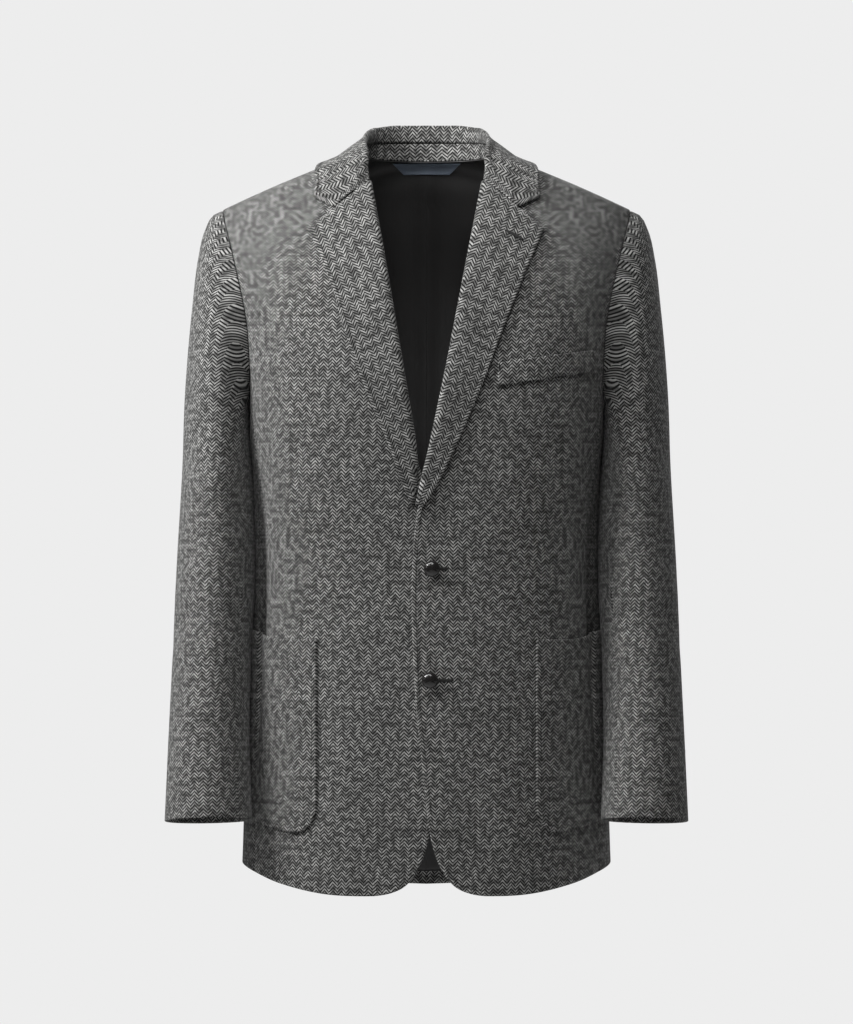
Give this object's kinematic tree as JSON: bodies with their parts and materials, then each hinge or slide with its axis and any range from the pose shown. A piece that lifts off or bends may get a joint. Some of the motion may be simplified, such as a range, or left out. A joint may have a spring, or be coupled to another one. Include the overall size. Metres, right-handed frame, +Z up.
{
  "type": "men's two-button herringbone tweed sports jacket, worn form with no wearer",
  "caption": "Hollow worn-form tweed sports jacket with notch lapels, welted breast pocket, rounded patch pockets, domed leather buttons and open neck, cuffs and hem.",
  "frame": {"origin": "on the centre line between the shoulders, level with the neck, where the wearer's shoulders carry the jacket", "axes": "+Z up, -Y to the jacket's front, +X to the wearer's left"},
  "size_m": [0.559, 0.2845, 0.8276],
  "materials": {
    "tweed": "grey and black wool herringbone tweed, matt, lightly napped",
    "satin": "black smooth lining cloth with a soft sheen",
    "navy_ribbon": "dark navy woven ribbon, blank",
    "leather": "near-black domed leather, semi-gloss"
  },
  "bodies": {
    "root": {"back_left": "tweed", "back_right": "tweed", "breast_welt": "tweed", "button_lower": "leather", "button_upper": "leather", "collar_fall": "tweed", "collar_stand": "tweed", "front_left": "tweed", "front_right": "tweed", "lapel_left": "tweed", "lapel_right": "tweed", "lining_back_left": "satin", "lining_back_right": "satin", "neck_label": "navy_ribbon", "pocket_left": "tweed", "pocket_right": "tweed", "side_left": "tweed", "side_right": "tweed", "sleeve_tab": "navy_ribbon", "top_sleeve_left": "tweed", "top_sleeve_right": "tweed", "under_sleeve_left": "tweed", "under_sleeve_right": "tweed"}
  },
  "joints": []
}
